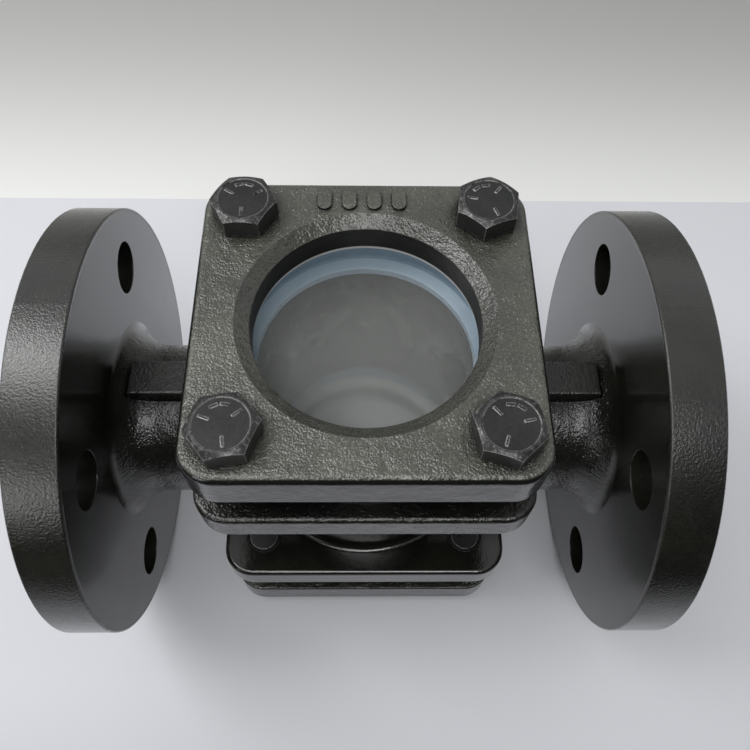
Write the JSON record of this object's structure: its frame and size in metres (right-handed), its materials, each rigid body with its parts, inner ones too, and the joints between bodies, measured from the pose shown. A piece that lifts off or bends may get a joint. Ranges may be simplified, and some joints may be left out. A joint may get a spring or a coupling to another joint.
{
  "type": "sight glass",
  "caption": "Flanged in-line sight glass: cast body with a pipe flange at each end and two opposite round windows clamped under square bolted covers.",
  "frame": {"origin": "the point where the pipe axis crosses the axis of the two windows, at the middle of the body", "axes": "+X along the pipe from inlet to outlet, +Y horizontal across the pipe, +Z along the window axis through the top cover"},
  "size_m": [0.2, 0.15, 0.153],
  "materials": {
    "painted_casting": "semi-gloss black paint on rough casting and turned faces",
    "painted_cover": "semi-gloss black paint on a rough sand casting",
    "window_glass": "polished toughened glass",
    "white_seal": "white sealing ring, matt",
    "grey_cushion": "light grey fibre ring, matt",
    "black_bolt": "black oxide, satin, worn on the edges"
  },
  "bodies": {
    "root": {"body": "painted_casting", "top_cover": "painted_cover", "bottom_cover": "painted_cover", "top_glass": "window_glass", "bottom_glass": "window_glass", "top_seal_gasket": "white_seal", "bottom_seal_gasket": "white_seal", "top_cushion_gasket": "grey_cushion", "bottom_cushion_gasket": "grey_cushion", "top_bolt_rear_left": "black_bolt", "top_bolt_rear_right": "black_bolt", "top_bolt_front_left": "black_bolt", "top_bolt_front_right": "black_bolt", "bottom_bolt_rear_left": "black_bolt", "bottom_bolt_rear_right": "black_bolt", "bottom_bolt_front_left": "black_bolt", "bottom_bolt_front_right": "black_bolt"}
  },
  "joints": []
}
